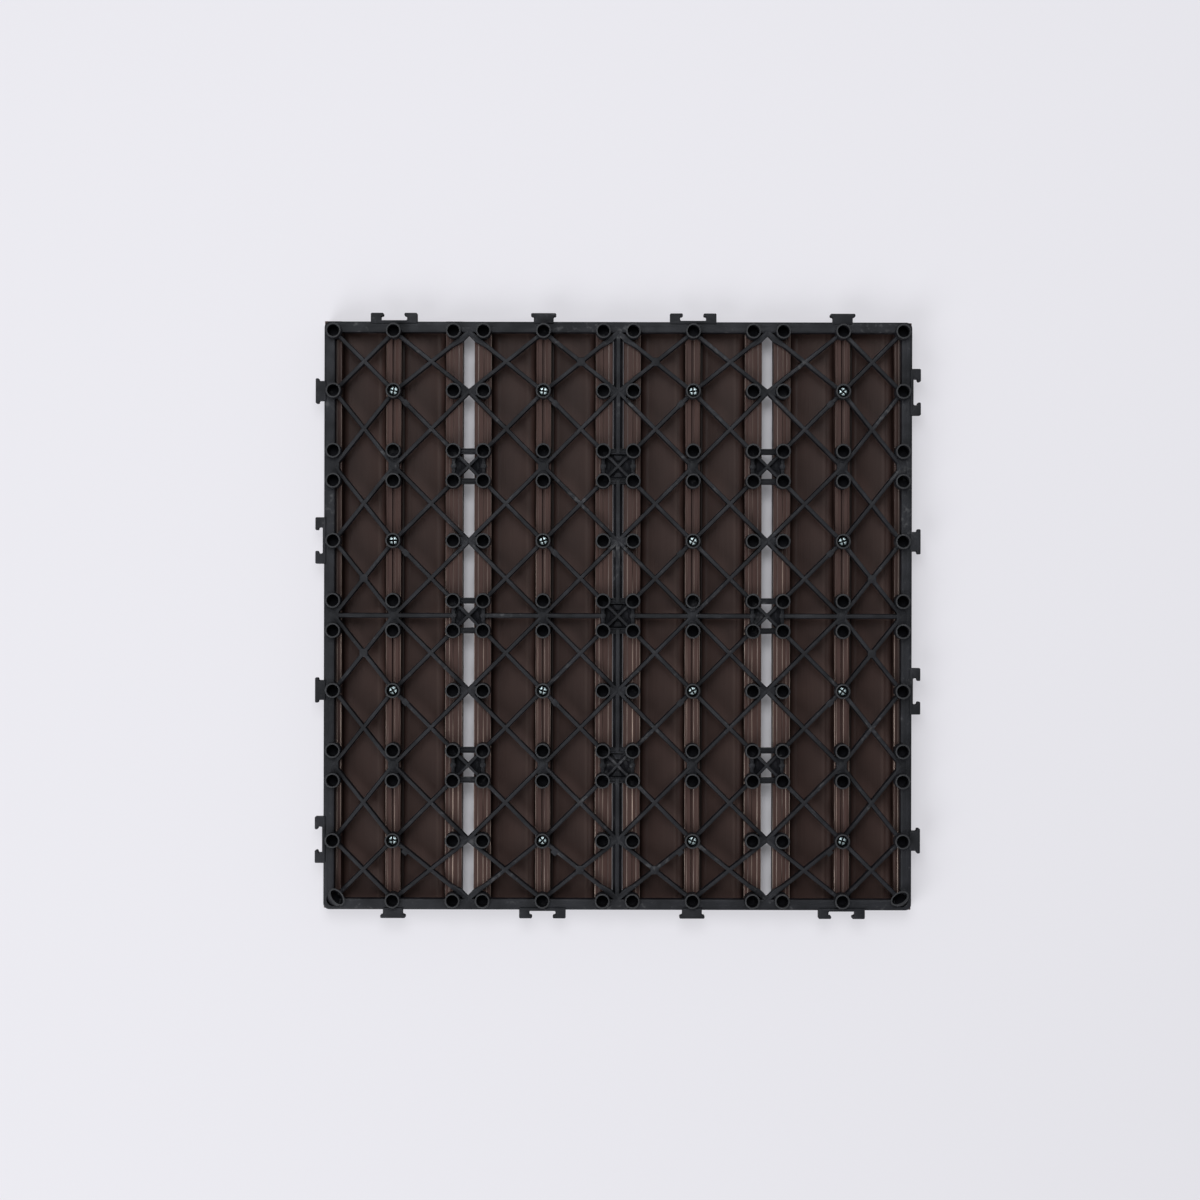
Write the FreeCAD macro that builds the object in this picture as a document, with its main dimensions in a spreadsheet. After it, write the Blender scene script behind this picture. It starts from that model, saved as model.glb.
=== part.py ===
import FreeCAD, Part
import math
import os
import Sketcher

os.makedirs("parts", exist_ok=True)
doc = FreeCAD.newDocument("interlocking_deck_tile")
Vector = FreeCAD.Vector

# Driving dimensions, in millimetres and degrees
DRIVING = (
    ("unit_pitch", "75"),
    ("units_per_side", "4"),
    ("joint_gap", "5"),
    ("base_corner", "3"),
    ("rim_width", "5.5"),
    ("rib_width", "2.1"),
    ("rib_height", "4"),
    ("crossbar_width", "2.3"),
    ("spine_width", "2.4"),
    ("spine_key_depth", "1.6"),
    ("spine_key_rise", "0.6"),
    ("spine_key_play", "0.15"),
    ("pair_web_width", "4.4"),
    ("box_rib_width", "1.6"),
    ("box_bar_width", "2.4"),
    ("box_floor_thickness", "1"),
    ("foot_step", "30"),
    ("foot_outer", "7.5"),
    ("foot_bore", "6"),
    ("foot_height", "9.5"),
    ("tab_reach", "4.2"),
    ("tab_root", "1"),
    ("tab_rise", "0.8"),
    ("tongue_neck", "9.9"),
    ("tongue_head", "12.6"),
    ("tongue_head_thickness", "1.7"),
    ("tongue_side_play", "0.25"),
    ("hook_block_width", "5.1"),
    ("hook_nib_thickness", "1.6"),
    ("hook_web_reach", "0.5"),
    ("slat_width", "69.5"),
    ("slat_length", "295"),
    ("slat_height", "12.5"),
    ("slat_deck_thickness", "4.5"),
    ("slat_side_leg", "8.6"),
    ("slat_centre_leg", "7.6"),
    ("slat_channel_fillet", "3.5"),
    ("slat_deck_edge", "1.2"),
    ("centre_groove_width", "1.4"),
    ("centre_groove_depth", "1.1"),
    ("outer_slat_shift", "0.35"),
    ("first_slat_slip", "0.4"),
    ("screw_head", "5"),
    ("screw_head_height", "2.4"),
    ("screw_shank", "3.4"),
    ("screw_length", "13"),
    ("screw_play", "0.1"),
    ("screw_flats", "6"),
    ("crush_rim_long", "9.8"),
    ("crush_rim_short", "6.2"),
    ("left_crush_inward", "2.6"),
    ("left_crush_upward", "1.9"),
    ("left_crush_angle", "-52"),
    ("right_crush_inward", "1.5"),
    ("right_crush_upward", "1.8"),
    ("right_crush_angle", "31"),
)

sheet = doc.addObject("Spreadsheet::Sheet", "sizes")
for row, (alias, number) in enumerate(DRIVING, start=1):
    sheet.set("A%d" % row, alias)
    sheet.set("B%d" % row, number)
    sheet.setAlias("B%d" % row, alias)
doc.recompute()


def value(expression):
    """The number that an expression on the sheet's cells gives."""
    result = sheet.evalExpression(expression)
    return getattr(result, "Value", result)


# Sizes worked out from the driving ones
HALF_PITCH = "sizes.unit_pitch * sizes.units_per_side / 2"
EDGE = "(sizes.unit_pitch * sizes.units_per_side - sizes.joint_gap) / 2"
FOOT_RADIUS = "sizes.foot_outer / 2 / sqrt(cos(30 deg))"
BORE_RADIUS = "sizes.foot_bore / 2 / sqrt(cos(30 deg))"
SCREW_SEAT = "sizes.slat_height + sizes.rib_height"
PILOT_RADIUS = "sizes.screw_shank / 2 + sizes.screw_play"
TAB_HEIGHT = "sizes.rib_height + sizes.tab_rise"
ROUND_SHARE = "(1 - cos(45 deg))"


def origin_plane(body, role):
    for feature in body.Origin.OriginFeatures:
        if feature.Role == role:
            return feature
    raise ValueError(role)


def new_body(name):
    body = doc.addObject("PartDesign::Body", name)
    body.Label = name
    return body


def new_sketch(body, name, role="XY_Plane", height=None):
    sketch = body.newObject("Sketcher::SketchObject", name)
    sketch.AttachmentSupport = [(origin_plane(body, role), "")]
    sketch.MapMode = "FlatFace"
    if height:
        sketch.setExpression("AttachmentOffset.Base.z", height)
    return sketch


def draw(sketch, points):
    """A closed outline of straight lines through fixed points."""
    ends = [Vector(x, y, 0) for x, y in points]
    for start, end in zip(ends, ends[1:] + ends[:1]):
        sketch.addGeometry(Part.LineSegment(start, end))


def draw_bound(sketch, points):
    """A closed outline whose corners are bound to the sheet, as pairs of expressions."""
    first = sketch.GeometryCount
    places = [(value("0 * sizes.unit_pitch + " + x), value("0 * sizes.unit_pitch + " + y)) for x, y in points]
    draw(sketch, places)
    for index, (x, y) in enumerate(points):
        line = first + index
        previous = first + (index - 1) % len(points)
        sketch.addConstraint(Sketcher.Constraint("Coincident", previous, 2, line, 1))
        for kind, expression, distance in zip(("DistanceX", "DistanceY"), (x, y), places[index]):
            place = sketch.addConstraint(Sketcher.Constraint(kind, -1, 1, line, 1, distance))
            sketch.setExpression("Constraints[%d]" % place, expression)


def pad(body, sketch, name, length, reverse=False, symmetric=False):
    feature = body.newObject("PartDesign::Pad", name)
    feature.Profile = sketch
    feature.setExpression("Length", length)
    feature.Reversed = reverse
    if symmetric:
        feature.SideType = "Symmetric"
    return feature


def node_lines():
    """Where rib ends lie along one side, with the kind of each line: rim, unit centre or unit boundary."""
    pitch = value("sizes.unit_pitch")
    units = int(round(value("sizes.units_per_side")))
    start = -value(HALF_PITCH)
    rim = value(HALF_PITCH) - pitch / 2 + value("sizes.foot_step")
    lines = [(-rim, "rim")]
    for unit in range(units):
        if unit:
            lines.append((start + unit * pitch, "boundary"))
        lines.append((start + (unit + 0.5) * pitch, "centre"))
    lines.append((rim, "rim"))
    return lines


def inset(points, distances):
    """Move each side of a convex anticlockwise outline inwards by its own distance."""
    sides = []
    for (ax, ay), (bx, by), distance in zip(points, points[1:] + points[:1], distances):
        length = math.hypot(bx - ax, by - ay)
        normal = (-(by - ay) / length, (bx - ax) / length)
        sides.append((normal, normal[0] * ax + normal[1] * ay + distance))
    corners = []
    for (first, reach), (second, limit) in zip(sides[-1:] + sides[:-1], sides):
        cross = first[0] * second[1] - first[1] * second[0]
        corners.append(((reach * second[1] - limit * first[1]) / cross,
                        (limit * first[0] - reach * second[0]) / cross))
    return corners


def trimmed(points, axis, sign, limit):
    """Keep the part of an outline on one side of a line across the given axis."""
    kept = []
    for start, end in zip(points, points[1:] + points[:1]):
        start_inside = sign * (start[axis] - limit) >= 0
        end_inside = sign * (end[axis] - limit) >= 0
        if start_inside:
            kept.append(start)
        if start_inside != end_inside:
            share = (limit - start[axis]) / (end[axis] - start[axis])
            kept.append(tuple(a + share * (b - a) for a, b in zip(start, end)))
    return kept


def junction_reach(along, across):
    """How far the solid junction reaches from a node along a direction, by the kinds of its two lines."""
    foot_from_boundary = value("sizes.unit_pitch / 2 - sizes.foot_step")
    if along == "boundary" and across == "boundary":
        return foot_from_boundary + value("sizes.box_bar_width / 2")
    if along == "boundary":
        return foot_from_boundary
    if across == "boundary":
        return value("sizes.pair_web_width / 2")
    return 0.0


def lattice_windows():
    """Openings between the diagonal ribs, mirrored into both directions by swapping the axes."""
    lines = node_lines()
    rib = value("sizes.rib_width") / 2
    rim_inset = value("sizes.rim_width") - (value(EDGE) - lines[-1][0])
    middle = {0: value("sizes.spine_width") / 2, 1: value("sizes.crossbar_width") / 2}
    windows = []
    for axis in (0, 1):
        for index, (place, kind) in enumerate(lines):
            for (low, low_kind), (high, high_kind) in zip(lines, lines[1:]):
                tips = [(place, low), (place, high)]
                centre = (low + high) / 2
                left = right = None
                if index > 0:
                    left = ((lines[index - 1][0] + place) / 2, centre)
                if index < len(lines) - 1:
                    right = ((lines[index + 1][0] + place) / 2, centre)
                base = rim_inset if kind == "rim" else middle[axis]
                whole = left and right and abs(place) > rib
                halves = [] if whole else [side for side in (left, right) if side]
                shapes = [([tips[0], right, tips[1], left], [rib] * 4)] if whole else []
                for side in halves:
                    if side is right:
                        shapes.append(([tips[0], right, tips[1]], [rib, rib, base]))
                    else:
                        shapes.append(([tips[0], tips[1], left], [base, rib, rib]))
                for outline, distances in shapes:
                    outline = inset(outline, distances)
                    outline = trimmed(outline, 1, 1, low + junction_reach(low_kind, kind))
                    outline = trimmed(outline, 1, -1, high - junction_reach(high_kind, kind))
                    windows.append([point[::-1] for point in outline] if axis else outline)
    return windows


def unit_centres():
    """Places of the units' centres, where the screwed feet stand, along one side."""
    return [place for place, kind in node_lines() if kind == "centre"]


def box_centres():
    """Places of the square boxes between four feet, along one side."""
    return [place for place, kind in node_lines() if kind == "boundary"]


def box_cross(x, y):
    """The crossed ribs that run from corner to corner of a box, as one outline."""
    reach = value("sizes.unit_pitch / 2 - sizes.foot_step")
    half = value("sizes.box_rib_width") / math.sqrt(2)
    outline = []
    for quarter in range(4):
        angle = quarter * math.pi / 2
        for a, b in ((half, 0.0), (reach + half / 2, reach - half / 2), (reach - half / 2, reach + half / 2)):
            outline.append((x + a * math.cos(angle) - b * math.sin(angle),
                            y + a * math.sin(angle) + b * math.cos(angle)))
    return outline


def rectangle(x, y, width, depth):
    return [(x - width / 2, y - depth / 2), (x + width / 2, y - depth / 2),
            (x + width / 2, y + depth / 2), (x - width / 2, y + depth / 2)]


def extruded(name, outlines, length, height="0"):
    """A sketch of closed outlines at a height, and its upright extrusion."""
    sketch = doc.addObject("Sketcher::SketchObject", name + "_plan")
    sketch.setExpression("Placement.Base.z", height)
    for outline in outlines:
        draw(sketch, outline)
    return upright(sketch, name, length)


def upright(sketch, name, length):
    solid = doc.addObject("Part::Extrusion", name)
    solid.Base = sketch
    solid.DirMode = "Custom"
    solid.Dir = Vector(0, 0, 1)
    solid.Solid = True
    solid.setExpression("LengthFwd", length)
    return solid


def plane_face(points):
    corners = [Vector(x, y, 0) for x, y in points]
    return Part.Face(Part.makePolygon(corners + corners[:1]))


def quadrant_plan():
    """One quarter of the rim, ribs and foot bases, from the tile's centre to its far corner."""
    half = value("sizes.unit_pitch / 2 - sizes.foot_step - sizes.box_bar_width / 2")
    edge = value(EDGE)
    flat = edge - value("sizes.base_corner")
    middle = flat + (edge - flat) / math.sqrt(2)
    corner = Part.Arc(Vector(edge, flat, 0), Vector(middle, middle, 0), Vector(flat, edge, 0)).toShape()
    sides = Part.makePolygon([Vector(flat, edge, 0), Vector(0, edge, 0), Vector(), Vector(edge, 0, 0),
                              Vector(edge, flat, 0)])
    quarter = Part.Face(Part.Wire([corner] + sides.Edges))
    openings = [window for window in lattice_windows() if min(min(point) for point in window) > 0]
    boxes = [(x, y) for x in box_centres() for y in box_centres() if min(x, y) >= 0]
    openings += [rectangle(x, y, 2 * half, 2 * half) for x, y in boxes]
    bases = [plane_face(foot_outline(x, y, value(FOOT_RADIUS))) for x in foot_places() for y in foot_places()]
    centres = [place for place in unit_centres() if place > 0]
    pilots = [plane_face(flat_sided(x, y, value(PILOT_RADIUS))) for x in centres for y in centres]
    plan = doc.addObject("Part::Feature", "quadrant_plan")
    plan.Shape = quarter.cut([plane_face(outline).cut(bases) for outline in openings] + pilots)
    plan.setExpression("Placement.Base.z", "sizes.slat_height")
    return plan


def foot_outline(x, y, radius):
    """Six flats for a round foot; four of its corners lie on the edges of the ribs that run into it.

    Two of the flats face the foot's partner across a unit boundary.
    """
    turn = math.asin(value("sizes.rib_width") / 2 / value(FOOT_RADIUS))
    corner = math.pi / 4 - turn
    angles = [corner, math.pi / 2, math.pi - corner, math.pi + corner, 3 * math.pi / 2, -corner]
    if faces_along_y(x, y):
        angles = [math.pi / 2 - angle for angle in angles[::-1]]
    return [(x + radius * math.cos(angle), y + radius * math.sin(angle)) for angle in angles]


def faces_along_y(x, y):
    """Whether a foot's partner stands beside it in the y direction alone."""
    return x in unit_centres() and y not in unit_centres()


def foot(rim, base, screwed=False):
    """A foot between two levels: its bore tapers to the floor, or stays straight where a screw goes in."""
    low = value("sizes.slat_height + sizes.rib_height")
    top = value("sizes.slat_height + sizes.foot_height")
    base_outline, base_bore = base
    rim_outline, rim_bore = rim
    wall = Part.makeLoft([ring(base_outline, low), ring(rim_outline, top)], True, True)
    if screwed:
        bore = Part.makeLoft([ring(base_bore, low), ring(rim_bore, top)], True, True)
    else:
        middle = [sum(axis) / len(base_bore) for axis in zip(*base_bore)]
        bore = Part.makeLoft([Part.Vertex(middle[0], middle[1], low), ring(rim_bore, top)], True, True)
    return wall.cut(bore)


def ring(points, height):
    corners = [Vector(x, y, height) for x, y in points]
    return Part.makePolygon(corners + corners[:1])


def straight_foot(x, y):
    """An unharmed foot; it has a screw in it where it stands at a unit's centre."""
    sides = (foot_outline(x, y, value(FOOT_RADIUS)), foot_outline(x, y, value(BORE_RADIUS)))
    return foot(sides, sides, x in unit_centres() and y in unit_centres())


def make_base_grid():
    """The moulded grid: rim, diagonal ribs, boxes, tubular feet and interlocking tabs."""
    seat = "sizes.slat_height"
    corner = max(foot_places())
    lines = [place for place in foot_places() if place > 0]
    places = [(x, y) for x in lines for y in lines if min(x, y) < corner]
    feet = doc.addObject("Part::Feature", "quadrant_feet")
    feet.Shape = Part.makeCompound([straight_foot(x, y) for x, y in places])

    quadrant = doc.addObject("Part::MultiFuse", "quadrant")
    quadrant.Shapes = [upright(quadrant_plan(), "quadrant_ribs", "sizes.rib_height"), feet]
    quadrant.Refine = True
    pieces = [quadrant]
    for normal in ("X", "Y"):
        for source in list(pieces):
            mirror = doc.addObject("Part::Mirroring", source.Name + "_across_" + normal)
            mirror.Source = source
            mirror.Normal = Vector(1, 0, 0) if normal == "X" else Vector(0, 1, 0)
            pieces.append(mirror)

    half = value("sizes.unit_pitch / 2 - sizes.foot_step")
    crosses, floors = [], []
    for x in box_centres():
        for y in box_centres():
            crosses.append(box_cross(x, y))
            if abs(x) < half:
                floors.append(rectangle(x, y, 2 * half, 2 * half))
            else:
                floors += [[(x, y), (x + side, y - side), (x + side, y + side)] for side in (-half, half)]
    pieces.append(extruded("box_crosses", crosses, "sizes.rib_height", seat))
    pieces.append(extruded("box_floors", floors, "sizes.box_floor_thickness", seat))

    key_width = value("sizes.unit_pitch - sizes.slat_width - 2 * sizes.spine_key_play")
    key = rectangle(0, 0, key_width, value("2 * (%s)" % EDGE))
    pieces.append(extruded("spine_key", [key], "sizes.spine_key_depth + sizes.spine_key_rise",
                           seat + " - sizes.spine_key_depth"))

    for quarter in range(4):
        tabs = doc.addObject("Sketcher::SketchObject", "tabs_plan_%d" % (quarter + 1))
        for unit in range(int(round(value("sizes.units_per_side")))):
            middle = "(%d + 0.5 - sizes.units_per_side / 2) * sizes.unit_pitch" % unit
            draw_bound(tabs, tongue_outline(middle) if unit % 2 else hook_outline(middle))
        tabs.setExpression("Placement.Base.z", seat)
        tabs.Placement.Rotation = FreeCAD.Rotation(Vector(0, 0, 1), 90 * quarter)
        pieces.append(upright(tabs, "tabs_%d" % (quarter + 1), TAB_HEIGHT))

    crushed = {(x, y): side for x, y, side in crushed_places()}
    for x in (-corner, corner):
        for y in (-corner, corner):
            name = "corner_foot_%d" % len(pieces)
            one = doc.addObject("Part::Feature", name)
            if (x, y) in crushed:
                one.Shape = crushed_foot(x, y, crushed[x, y])
            else:
                one.Shape = straight_foot(x, y)
            pieces.append(one)
    grid = doc.addObject("Part::MultiFuse", "base_grid")
    grid.Label = "base_grid"
    grid.Shapes = pieces
    grid.Refine = True
    return grid


def crushed_places():
    """The two corner feet on the near side that were squashed."""
    places = foot_places()
    return ((places[0], places[0], "left"), (places[-1], places[0], "right"))


def crushed_foot(x, y, side):
    """A foot whose rim was squashed to an oval and pushed inwards."""
    inward = value("sizes.%s_crush_inward" % side) * (1 if x < 0 else -1)
    upward = value("sizes.%s_crush_upward" % side)
    turn = math.radians(value("sizes.%s_crush_angle" % side))
    base = [foot_outline(x, y, value(FOOT_RADIUS)), foot_outline(x, y, value(BORE_RADIUS))]
    rim = []
    for shrink, radius in ((0, FOOT_RADIUS), (value("sizes.foot_outer - sizes.foot_bore"), BORE_RADIUS)):
        widths = [value("sizes.crush_rim_long") - shrink, value("sizes.crush_rim_short") - shrink]
        stretch = [width / 2 / value(radius) for width in widths]
        oval = []
        for a, b in foot_outline(0, 0, value(radius)):
            a, b = a * stretch[0], b * stretch[1]
            oval.append((x + inward + a * math.cos(turn) - b * math.sin(turn),
                         y + upward + a * math.sin(turn) + b * math.cos(turn)))
        rim.append(oval)
    return foot(rim, base)


def foot_places():
    """Foot centres along one side: three to a unit."""
    step = value("sizes.foot_step")
    return [place + shift for place, kind in node_lines() if kind == "centre" for shift in (-step, 0, step)]


def flat_sided(x, y, radius):
    """A small round hole or shank drawn with flats."""
    flats = int(round(value("sizes.screw_flats")))
    angles = [2 * math.pi * (index + 0.5) / flats for index in range(flats)]
    return [(x + radius * math.cos(angle), y + radius * math.sin(angle)) for angle in angles]


def tongue_outline(x):
    """A T-shaped tongue on the far side of the tile, seen from above the feet."""
    neck = "sizes.tongue_neck / 2"
    head = "sizes.tongue_head / 2"
    root = "%s - sizes.tab_root" % EDGE
    back = "%s + sizes.tab_reach - sizes.tongue_head_thickness" % EDGE
    front = "%s + sizes.tab_reach" % EDGE
    right = [(neck, root), (neck, back), (head, back), (head, front)]
    return [("%s + %s" % (x, a), b) for a, b in right] + [("%s - (%s)" % (x, a), b) for a, b in right[::-1]]


def hook_outline(x):
    """A pair of hooks, joined by a web, that holds a neighbour's tongue."""
    mouth = "sizes.tongue_neck / 2 + sizes.tongue_side_play"
    pocket = "sizes.tongue_head / 2 + sizes.tongue_side_play"
    block = pocket + " + sizes.hook_block_width"
    root = "%s - sizes.tab_root" % EDGE
    web = "%s + sizes.hook_web_reach" % EDGE
    nib = "%s + sizes.tab_reach - sizes.hook_nib_thickness" % EDGE
    front = "%s + sizes.tab_reach" % EDGE
    right = [(block, root), (block, front), (mouth, front), (mouth, nib), (pocket, nib), (pocket, web)]
    return [("%s + %s" % (x, a), b) for a, b in right] + [("%s - (%s)" % (x, a), b) for a, b in right[::-1]]


def make_slat(number):
    """A composite deck board: two channels and grooved legs underneath, a plain deck face on z = 0."""
    name = "slat_%d" % number
    body = new_body(name + "_body")
    last = int(round(value("sizes.units_per_side")))
    outward = {1: " - sizes.outer_slat_shift", last: " + sizes.outer_slat_shift"}
    middle = "(%d - 0.5 - sizes.units_per_side / 2) * sizes.unit_pitch" % number
    body.setExpression("Placement.Base.x", middle + outward.get(number, ""))
    if number == 1:
        body.setExpression("Placement.Base.y", "sizes.first_slat_slip")

    top = "sizes.slat_height"
    deck = "sizes.slat_deck_thickness"
    edge = "sizes.slat_width / 2"
    leg = "sizes.slat_width / 2 - sizes.slat_side_leg"
    centre = "sizes.slat_centre_leg / 2"
    groove = "sizes.centre_groove_width / 2"
    fillet = "sizes.slat_channel_fillet"
    turn = "%s * %s" % (fillet, ROUND_SHARE)
    right = [
        ("%s - sizes.slat_deck_edge" % edge, "0"), (edge, "sizes.slat_deck_edge"),
        (edge, top), (leg, top),
        (leg, "%s + %s" % (deck, fillet)), ("%s - %s" % (leg, turn), "%s + %s" % (deck, turn)),
        ("%s - %s" % (leg, fillet), deck), ("%s + %s" % (centre, fillet), deck),
        ("%s + %s" % (centre, turn), "%s + %s" % (deck, turn)),
        (centre, "%s + %s" % (deck, fillet)), (centre, top),
        (groove, top), (groove, "%s - sizes.centre_groove_depth" % top),
    ]
    profile = new_sketch(body, name + "_profile", "XZ_Plane")
    draw_bound(profile, right + [("-(%s)" % x, z) for x, z in right[::-1]])
    pad(body, profile, name + "_board", "sizes.slat_length", symmetric=True)

    reach = value("sizes.screw_length - sizes.rib_height")
    mouth = value("sizes.screw_shank / 2") * reach / value("sizes.screw_length") + value("sizes.screw_play")
    x = value(middle)
    holes = doc.addObject("Part::Feature", name + "_pilot_holes")
    depth = reach + value("sizes.screw_play")
    holes.Shape = Part.makeCompound([spike(x, y, mouth, value(top), depth) for y in unit_centres()])
    slat = doc.addObject("Part::Cut", name)
    slat.Label = name
    slat.Base = body
    slat.Tool = holes
    return slat


def spike(x, y, radius, height, depth):
    """A pointed form of a few flats that hangs down from a level."""
    mouth = ring(flat_sided(x, y, radius), height)
    return Part.makeLoft([Part.Vertex(x, y, height - depth), mouth], True, True)


def make_screws():
    """One screw for each unit, with its head on the floor of the unit's centre foot."""
    head = upright_prism("screw_head_solid", "sizes.screw_head / 2", "sizes.screw_head_height", SCREW_SEAT)
    shank = doc.addObject("Part::Feature", "screw_shank_solid")
    shank.Shape = spike(0, 0, value("sizes.screw_shank / 2"), value(SCREW_SEAT), value("sizes.screw_length"))
    screw = doc.addObject("Part::MultiFuse", "one_screw")
    screw.Shapes = [head, shank]
    screw.Refine = True
    doc.recompute()
    screws = doc.addObject("Part::Feature", "screws")
    screws.Label = "screws"
    screws.Shape = Part.makeCompound([screw.Shape.translated(Vector(x, y, 0))
                                      for x in unit_centres() for y in unit_centres()])
    return screws


def upright_prism(name, radius, length, height):
    return extruded(name, [flat_sided(0, 0, value(radius))], length, height)


def check(thing):
    shape = thing.Shape
    if shape.isNull() or not shape.isValid() or not shape.Solids:
        raise SystemExit("%s has no valid solid" % thing.Label)


sub_parts = [make_base_grid()]
sub_parts += [make_slat(number) for number in range(1, int(round(value("sizes.units_per_side"))) + 1)]
sub_parts.append(make_screws())
doc.recompute()
for thing in doc.Objects:
    if "Invalid" in thing.State or "Error" in thing.State:
        raise SystemExit("%s failed: %s" % (thing.Name, thing.State))
for sub_part in sub_parts:
    check(sub_part)
    sub_part.Shape.exportStep("parts/%s.step" % sub_part.Label)
    box = sub_part.Shape.BoundBox
    print("%s: %d solids, %.0f mm3, %.2f..%.2f x %.2f..%.2f x %.2f..%.2f" % (
        sub_part.Label, len(sub_part.Shape.Solids), sub_part.Shape.Volume,
        box.XMin, box.XMax, box.YMin, box.YMax, box.ZMin, box.ZMax))
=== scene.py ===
"""An interlocking deck tile that lies on its deck face, with its ribbed underside and feet up."""
import math

import bpy
import numpy as np
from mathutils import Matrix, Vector


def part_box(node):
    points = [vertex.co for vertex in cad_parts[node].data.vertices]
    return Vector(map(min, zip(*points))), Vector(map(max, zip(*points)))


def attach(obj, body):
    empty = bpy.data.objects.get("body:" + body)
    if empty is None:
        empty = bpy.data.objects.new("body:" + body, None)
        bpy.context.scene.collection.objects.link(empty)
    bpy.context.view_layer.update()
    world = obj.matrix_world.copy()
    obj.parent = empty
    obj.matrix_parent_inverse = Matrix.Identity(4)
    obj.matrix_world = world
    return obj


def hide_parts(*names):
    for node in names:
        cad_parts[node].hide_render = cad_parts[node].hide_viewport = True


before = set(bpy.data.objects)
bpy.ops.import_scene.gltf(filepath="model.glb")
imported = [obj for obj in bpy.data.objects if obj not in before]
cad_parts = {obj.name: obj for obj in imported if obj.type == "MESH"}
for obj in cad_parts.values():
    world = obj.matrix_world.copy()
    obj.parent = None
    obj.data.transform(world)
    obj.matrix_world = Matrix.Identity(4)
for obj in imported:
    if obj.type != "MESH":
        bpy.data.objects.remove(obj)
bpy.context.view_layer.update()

MM = 0.001
BOTH_SIDES = np.array([-1.0, 1.0])
SHARP = math.radians(38)

# The shared patterns' scale input, and how a tree's nodes are laid out
SCALE = "Marks per metre"
NODES_IN_ROW = 6
NODE_GAP = 220

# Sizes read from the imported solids, in millimetres
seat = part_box("slat_2")[1][2] / MM
rim_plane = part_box("base_grid")[1][2] / MM
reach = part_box("base_grid")[1][0] / MM
pitch = (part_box("slat_3")[0][0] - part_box("slat_2")[0][0]) / MM
key_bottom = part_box("base_grid")[0][2] / MM
screw_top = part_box("screws")[1][2] / MM

# Sizes of the moulded base, in millimetres
tab_reach = 4.2
edge = reach - tab_reach
corner_round = 3.0
rim_width = 5.5
rib_width = 2.1
rib_draft = 0.15
rib_height = 4.0
rib_top = seat + rib_height
foot_step = 30.0
foot_radius = 3.75
bore_radius = 3.0
bore_floor = seat + 0.4
foot_inside = 3.3
screw_floor = rib_top
web_width = 4.4
web_waist = 2.6
web_fillets = 0.9
rim_web_fillets = 0.6
box_rib_width = 1.6
box_bar_width = 2.8
box_bar_drop = 0.9
box_lip_width = 0.5
box_side_width = 2.0
box_floor = 1.0
box_draft = 0.1
box_post_radius = 1.5
spine_width = 2.4
crossbar_width = 2.3
key_width = 4.7
key_overlap = 0.6
edge_soft = 0.25

# Forms that overlap end this far below one another, so that no two tops share a plane
layer_step = 0.03

# Sizes of the boards' cross-section, in millimetres
deck_thickness = 4.5
deck_round = 1.2
centre_leg = 3.75
side_leg_width = 8.6
hollow_round = 3.5
leg_soft = 0.3

# Where the boards' painted shade and painted highlights change: heights, and distances from a board's middle, in
# millimetres
wall_heights = (4.7, 6.2)
leg_heights = (11.0, 12.2)
channel_reach = (3.7, 26.3)
highlight_places = (-8.3, 21.6)
highlight_half = 1.3

# Sizes of a screw's head, in millimetres
head_radius = 2.5
head_flat = 2.3
head_height = 1.0
recess_reach = 2.05
recess_depth = 1.8
slot_half = 0.34

# Places along one side of the tile
unit_middles = pitch * (np.arange(4) - 1.5)
boundaries = pitch * np.array([-1.0, 0.0, 1.0])
foot_lines = np.sort(np.concatenate([unit_middles - foot_step, unit_middles, unit_middles + foot_step]))
rim_line = foot_lines[-1]
node_lines = np.sort(np.concatenate([unit_middles, boundaries, BOTH_SIDES * rim_line]))
box_half = pitch / 2 - foot_step


# Meshes

def new_piece(name, vertices, faces, material):
    """A mesh object from an array of places in millimetres and lists of corner numbers."""
    mesh = bpy.data.meshes.new(name)
    mesh.from_pydata((np.asarray(vertices) * MM).tolist(), [], faces)
    mesh.polygons.foreach_set("use_smooth", np.full(len(mesh.polygons), True))
    mesh.set_sharp_from_angle(angle=SHARP)
    mesh.materials.append(material)
    mesh.update()
    piece = bpy.data.objects.new(name, mesh)
    bpy.context.scene.collection.objects.link(piece)
    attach(piece, "root")
    return piece


def ring_faces(rows, columns):
    """Quads between neighbouring rings of a grid that has one closed ring of points to a row."""
    column = np.arange(columns)
    following = (column + 1) % columns
    row = np.arange(rows - 1)[:, None] * columns
    above = row + columns
    return np.stack([row + column, row + following, above + following, above + column], -1).reshape(-1, 4)


def end_caps(rows, columns):
    """The two faces that close the first and the last ring of such a grid."""
    ring = np.arange(columns)
    return ring[::-1], (rows - 1) * columns + ring


class Shell:
    """Collects the arrays of many closed forms that make one piece."""

    def __init__(self):
        self.vertices = []
        self.faces = []
        self.count = 0

    def add(self, vertices, faces):
        vertices = np.asarray(vertices).reshape(-1, 3)
        self.faces += [[self.count + corner for corner in face] for face in faces]
        self.vertices.append(vertices)
        self.count += len(vertices)

    def copies(self, forms, faces, caps):
        """Add K forms of M vertices each, which share one pattern of faces and caps."""
        forms = np.asarray(forms)
        count, size = forms.shape[0], forms.shape[1]
        steps = (np.arange(count) * size)[:, None, None]
        faces = np.asarray(faces)
        every = (faces[None] + steps).reshape(-1, faces.shape[1]).tolist()
        for cap in caps:
            every += (np.asarray(cap)[None] + steps[:, :, 0]).tolist()
        self.add(forms.reshape(-1, 3), every)

    def piece(self, name, material, slot_name):
        return new_piece(name, np.concatenate(self.vertices), self.faces, material)


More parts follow.
